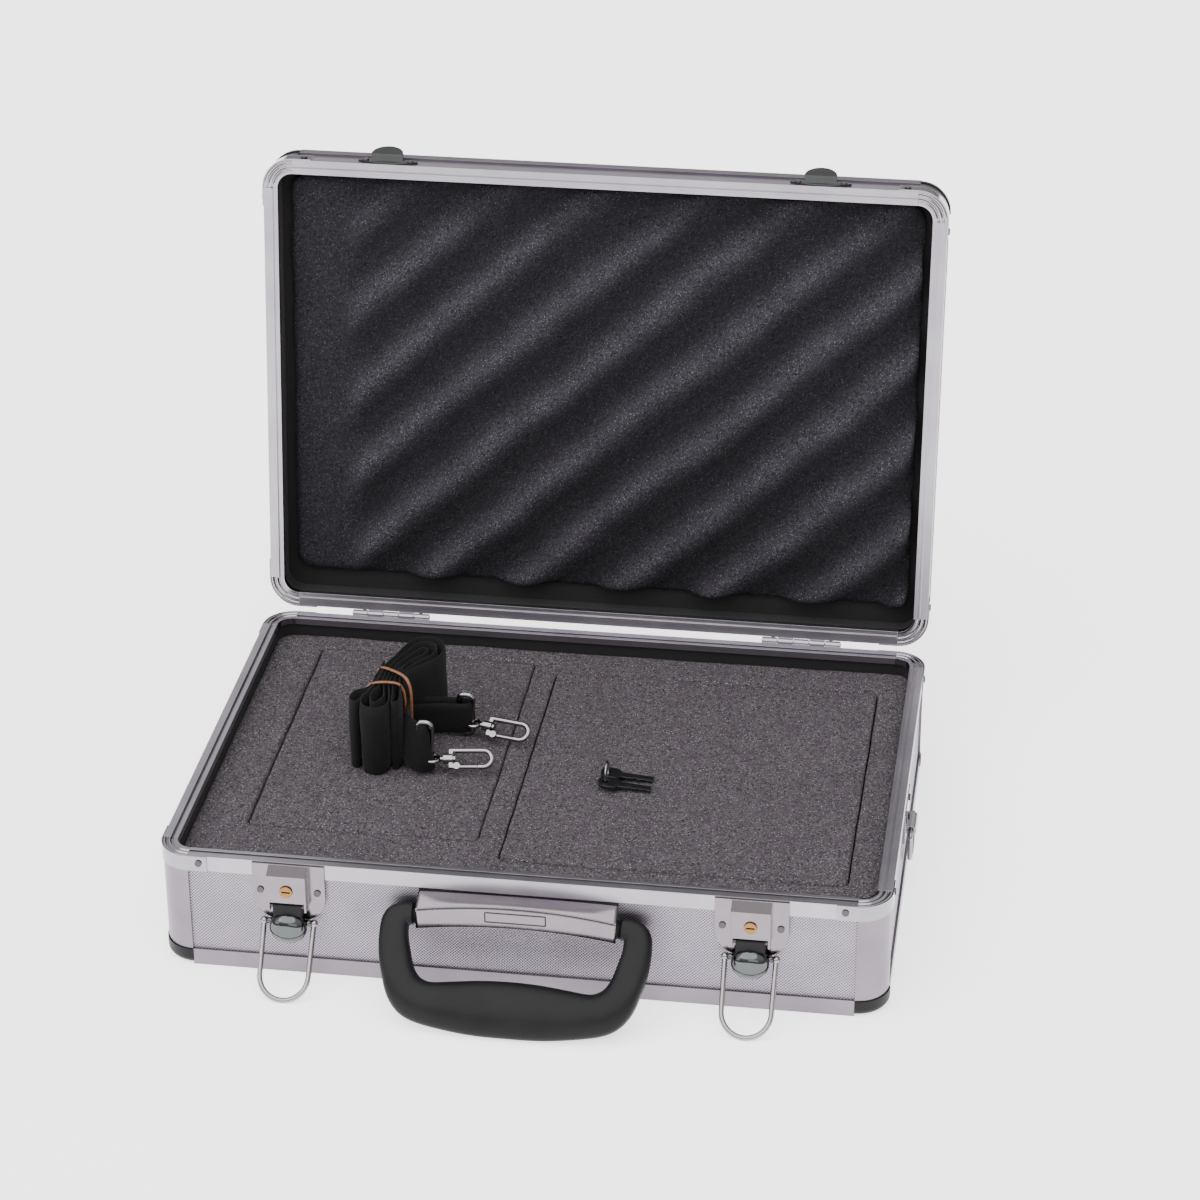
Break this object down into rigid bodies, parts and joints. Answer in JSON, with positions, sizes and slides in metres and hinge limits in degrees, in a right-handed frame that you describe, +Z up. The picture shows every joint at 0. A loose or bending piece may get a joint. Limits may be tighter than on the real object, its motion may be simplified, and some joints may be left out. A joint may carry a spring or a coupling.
{
  "type": "aluminium carry case",
  "caption": "Shallow hinged aluminium hard case with cut foam, draw-bail latches, front handle, end strap rings, a rolled shoulder strap and keys; a removable-plug foam tray.",
  "frame": {"origin": "centre of the base's underside", "axes": "+Z up, -Y towards the front with the handle, +X along the front to the right as seen from it"},
  "size_m": [0.355, 0.3403, 0.3071],
  "materials": {
    "aluminium_board": "fine raised dot texture",
    "aluminium_rail": "satin anodised",
    "black_board": "pebbled",
    "black_plastic": "fine grain",
    "chrome": "polished",
    "nickel_wire": "bright nickel wire",
    "rivet_steel": "plated",
    "brass": "turned",
    "black_lining": "thin felt",
    "foam": "open-cell foam with mixed grey and purple specks",
    "webbing": "woven",
    "rubber_band": "plain",
    "keys": "dark plated, plastic heads"
  },
  "bodies": {
    "base": {"base_bottom_panel": "black_board", "base_front_panel": "aluminium_board", "base_back_panel": "aluminium_board", "base_side_panels": "aluminium_board", "base_front_rim": "aluminium_rail", "base_back_rim": "aluminium_rail", "base_side_rims": "aluminium_rail", "base_bottom_edges": "aluminium_rail", "base_corner_posts": "aluminium_rail", "base_corner_feet": "black_plastic", "base_rim_corners": "chrome", "base_rivets": "rivet_steel", "base_lining": "black_lining", "base_foam": "foam", "latch_plate_left": "chrome", "latch_plate_right": "chrome", "lever_pins": "rivet_steel", "handle_bracket": "chrome", "handle_pins": "rivet_steel", "handle_bolts": "rivet_steel", "strap_lug_plates": "chrome", "hinge_base_leaves": "chrome", "hinge_pins": "rivet_steel"},
    "lid": {"lid_top_panel": "aluminium_board", "lid_front_panel": "aluminium_board", "lid_back_panel": "aluminium_board", "lid_side_panels": "aluminium_board", "lid_front_rim": "aluminium_rail", "lid_back_rim": "aluminium_rail", "lid_side_rims": "aluminium_rail", "lid_top_edges": "aluminium_rail", "lid_corner_posts": "aluminium_rail", "lid_corner_guards": "black_plastic", "lid_rim_corners": "chrome", "lid_rivets": "rivet_steel", "lid_lining": "black_lining", "lid_foam": "foam", "catch_hooks": "chrome", "hinge_lid_leaves": "chrome"},
    "handle": {"handle_grip": "black_plastic"},
    "foam_left": {"foam_plug_left": "foam"},
    "foam_right": {"foam_plug_right": "foam"},
    "strap": {"strap_webbing": "webbing", "rubber_band": "rubber_band", "strap_rings": "nickel_wire", "swivel_eyes": "nickel_wire"},
    "hook_front": {"snap_hook_front": "nickel_wire"},
    "hook_rear": {"snap_hook_rear": "nickel_wire"},
    "gate_front": {"hook_gate_front": "nickel_wire"},
    "gate_rear": {"hook_gate_rear": "nickel_wire"},
    "keys": {"keys": "keys", "key_ring": "nickel_wire"},
    "lever_left": {"latch_lever_left": "chrome"},
    "bail_left": {"latch_bail_left": "nickel_wire"},
    "lock_left": {"lock_cylinder_left": "brass"},
    "strap_ring_left": {"d_ring_left": "nickel_wire"},
    "lever_right": {"latch_lever_right": "chrome"},
    "bail_right": {"latch_bail_right": "nickel_wire"},
    "lock_right": {"lock_cylinder_right": "brass"},
    "strap_ring_right": {"d_ring_right": "nickel_wire"}
  },
  "joints": [
    {"name": "lid_hinge", "type": "hinge", "parent": "base", "child": "lid", "pos_m": [0, 0.1222, 0.0612], "axis": [-1, 0, 0], "range_deg": [-97.65, 0], "deforming": ["strap_webbing", "rubber_band", "strap_rings"]},
    {"name": "latch_lever_left_pivot", "type": "hinge", "parent": "base", "child": "lever_left", "pos_m": [-0.109, -0.1248, 0.0402], "axis": [1, 0, 0], "range_deg": [-60, 0]},
    {"name": "latch_bail_left_pivot", "type": "hinge", "parent": "lever_left", "child": "bail_left", "pos_m": [-0.109, -0.1234, 0.0305], "axis": [-1, 0, 0], "range_deg": [-37.8, 143.4]},
    {"name": "lock_left_turn", "type": "hinge", "parent": "base", "child": "lock_left", "pos_m": [-0.109, -0.1265, 0.0492], "axis": [0, -1, 0], "range_deg": [0, 90]},
    {"name": "strap_ring_left_pivot", "type": "hinge", "parent": "base", "child": "strap_ring_left", "pos_m": [-0.1749, 0, 0.0328], "axis": [0, 1, 0], "range_deg": [0, 150]},
    {"name": "latch_lever_right_pivot", "type": "hinge", "parent": "base", "child": "lever_right", "pos_m": [0.109, -0.1248, 0.0402], "axis": [1, 0, 0], "range_deg": [-60, 0]},
    {"name": "latch_bail_right_pivot", "type": "hinge", "parent": "lever_right", "child": "bail_right", "pos_m": [0.109, -0.1234, 0.0305], "axis": [-1, 0, 0], "range_deg": [-37.8, 143.4]},
    {"name": "lock_right_turn", "type": "hinge", "parent": "base", "child": "lock_right", "pos_m": [0.109, -0.1265, 0.0492], "axis": [0, -1, 0], "range_deg": [0, 90]},
    {"name": "strap_ring_right_pivot", "type": "hinge", "parent": "base", "child": "strap_ring_right", "pos_m": [0.1749, 0, 0.0328], "axis": [0, -1, 0], "range_deg": [0, 150]},
    {"name": "handle_pivot", "type": "hinge", "parent": "base", "child": "handle", "pos_m": [0, -0.1242, 0.041], "axis": [-1, 0, 0], "range_deg": [-36, 96]},
    {"name": "foam_plug_left_lift", "type": "slide", "parent": "base", "child": "foam_left", "axis": [0, 0, 1], "range_m": [0, 0.06]},
    {"name": "foam_plug_right_lift", "type": "slide", "parent": "base", "child": "foam_right", "axis": [0, 0, 1], "range_m": [0, 0.06]},
    {"name": "strap_lift", "type": "slide", "parent": "foam_left", "child": "strap", "axis": [0, 0, 1], "range_m": [0, 0.08]},
    {"name": "keys_lift", "type": "slide", "parent": "foam_right", "child": "keys", "axis": [0, 0, 1], "range_m": [0, 0.05]},
    {"name": "hook_front_swivel", "type": "hinge", "parent": "strap", "child": "hook_front", "pos_m": [-0.0605, -0.014, 0.0585], "axis": [0.9903, 0.1392, 0], "range_deg": [-90, 90]},
    {"name": "gate_front_pivot", "type": "hinge", "parent": "hook_front", "child": "gate_front", "pos_m": [-0.04817, -0.01552, 0.0558], "axis": [0.0895, -0.6365, 0.766], "range_deg": [0, 20], "stiffness_Nm_per_rad": 0.002, "springref_deg": -20.05},
    {"name": "hook_rear_swivel", "type": "hinge", "parent": "strap", "child": "hook_rear", "pos_m": [-0.0465, 0.0225, 0.0585], "axis": [0.9781, -0.2079, 0], "range_deg": [-90, 90]},
    {"name": "gate_rear_pivot", "type": "hinge", "parent": "hook_rear", "child": "gate_rear", "pos_m": [-0.03543, 0.01686, 0.0558], "axis": [-0.1336, -0.6287, 0.766], "range_deg": [0, 20], "stiffness_Nm_per_rad": 0.002, "springref_deg": -20.05}
  ]
}
